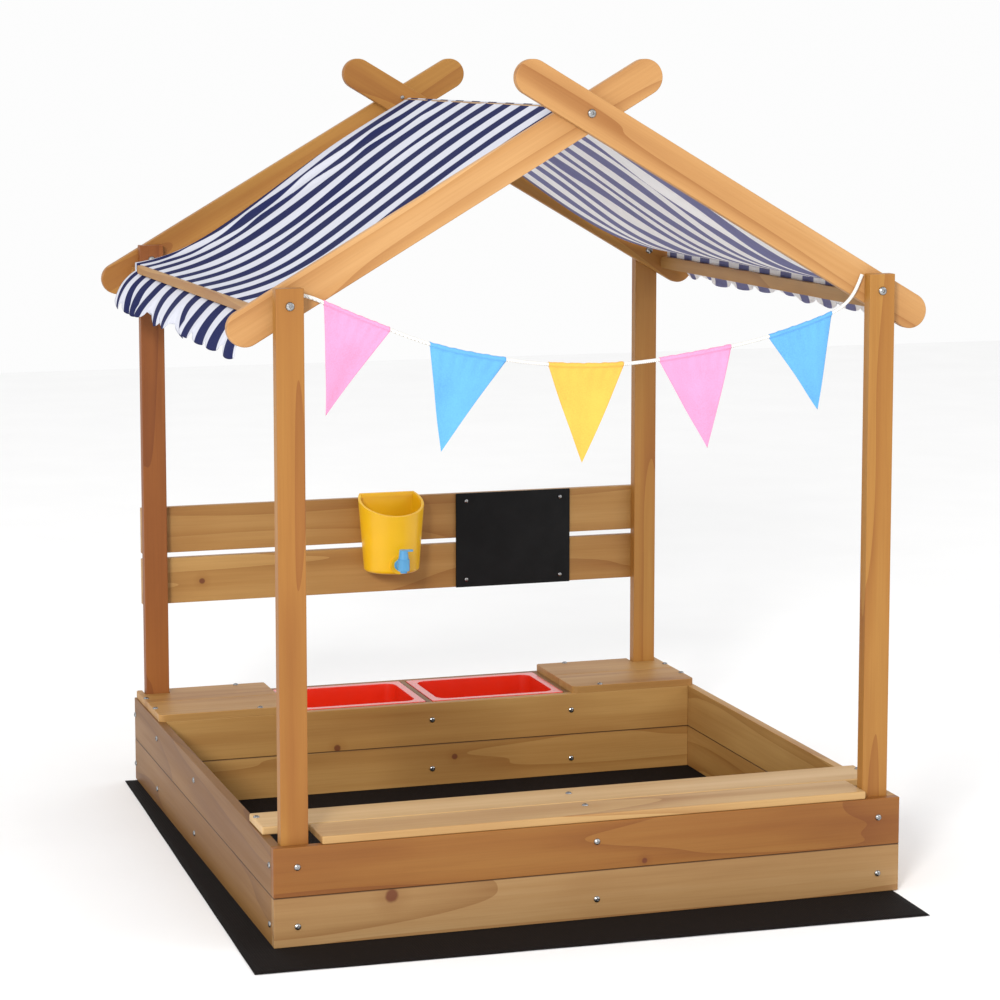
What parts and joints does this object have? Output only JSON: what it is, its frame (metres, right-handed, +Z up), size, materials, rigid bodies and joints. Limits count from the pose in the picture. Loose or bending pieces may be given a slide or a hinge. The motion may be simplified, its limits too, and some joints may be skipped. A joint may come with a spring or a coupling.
{
  "type": "sandbox with cover",
  "caption": "Square wooden sandbox with seat, lift-out water basins, hook-on bucket with tap, writing board and a striped fabric gable roof on posts.",
  "frame": {"origin": "on the ground below the middle of the box, on the underside of the ground cloth", "axes": "+X to the right seen from the front, +Y to the back, +Z up"},
  "size_m": [1.3235, 1.4627, 1.5488],
  "materials": {
    "stained_wood": "stained fir, satin",
    "light_wood": "light honey stained fir, satin",
    "red_plastic": "glossy red",
    "yellow_plastic": "warm yellow, semi-gloss",
    "blue_plastic": "sky blue, semi-gloss",
    "seal_rubber": "matt",
    "writing_surface": "matt black writing surface",
    "striped_canvas": "navy and white stripes from ridge to eave",
    "ground_fabric": "black woven ground cloth",
    "cord_textile": "white twisted cord",
    "pink_cloth": "plain weave",
    "light_blue_cloth": "plain weave",
    "yellow_cloth": "plain weave",
    "zinc_steel": "bright zinc"
  },
  "bodies": {
    "frame": {"basin_ledges": "stained_wood", "bunting_cord": "cord_textile", "canopy": "striped_canvas", "corner_plate_left_front": "stained_wood", "corner_plate_left_rear": "stained_wood", "corner_plate_right_front": "stained_wood", "corner_plate_right_rear": "stained_wood", "dividing_board_lower": "stained_wood", "dividing_board_upper": "stained_wood", "eave_beam_left": "stained_wood", "eave_beam_right": "stained_wood", "eave_pins": "zinc_steel", "eave_slat_left": "stained_wood", "eave_slat_right": "stained_wood", "front_board_lower": "stained_wood", "front_board_upper": "stained_wood", "front_post_left": "light_wood", "front_post_right": "light_wood", "ground_sheet": "ground_fabric", "left_board_lower": "stained_wood", "left_board_upper": "stained_wood", "left_cleat": "stained_wood", "panel_screws": "zinc_steel", "pennant_blue": "light_blue_cloth", "pennant_light_blue": "light_blue_cloth", "pennant_pink_left": "pink_cloth", "pennant_pink_right": "pink_cloth", "pennant_yellow": "yellow_cloth", "rafter_front_left": "light_wood", "rafter_front_right": "light_wood", "rafter_rear_left": "light_wood", "rafter_rear_right": "light_wood", "rafter_spacers": "stained_wood", "rail_lower": "stained_wood", "rail_upper": "stained_wood", "rear_board_lower": "stained_wood", "rear_board_upper": "stained_wood", "rear_post_left": "stained_wood", "rear_post_right": "stained_wood", "ridge_pole": "stained_wood", "right_board_lower": "stained_wood", "right_board_upper": "stained_wood", "roof_bolts": "zinc_steel", "roof_nuts": "zinc_steel", "seat_plank_back": "stained_wood", "seat_plank_front": "stained_wood", "seat_support": "stained_wood", "trough_cross_left": "stained_wood", "trough_cross_right": "stained_wood", "trough_divider": "stained_wood", "wood_screws": "zinc_steel", "writing_board": "writing_surface"},
    "basin_left": {"basin_left": "red_plastic"},
    "basin_right": {"basin_right": "red_plastic"},
    "bucket": {"bucket": "yellow_plastic", "tap_body": "blue_plastic", "tap_washer": "seal_rubber", "tap_nut": "blue_plastic"},
    "tap_lever": {"tap_lever": "blue_plastic"}
  },
  "joints": [
    {"name": "basin_left_lift", "type": "slide", "parent": "frame", "child": "basin_left", "axis": [0, 0, 1], "range_m": [0, 0.2]},
    {"name": "basin_right_lift", "type": "slide", "parent": "frame", "child": "basin_right", "axis": [0, 0, 1], "range_m": [0, 0.2]},
    {"name": "bucket_lift", "type": "slide", "parent": "frame", "child": "bucket", "axis": [0, 0, 1], "range_m": [0, 0.06]},
    {"name": "tap_turn", "type": "hinge", "parent": "bucket", "child": "tap_lever", "pos_m": [-0.039, 0.4888, 0.49], "axis": [0, 0, 1], "range_deg": [-90, 0]}
  ]
}
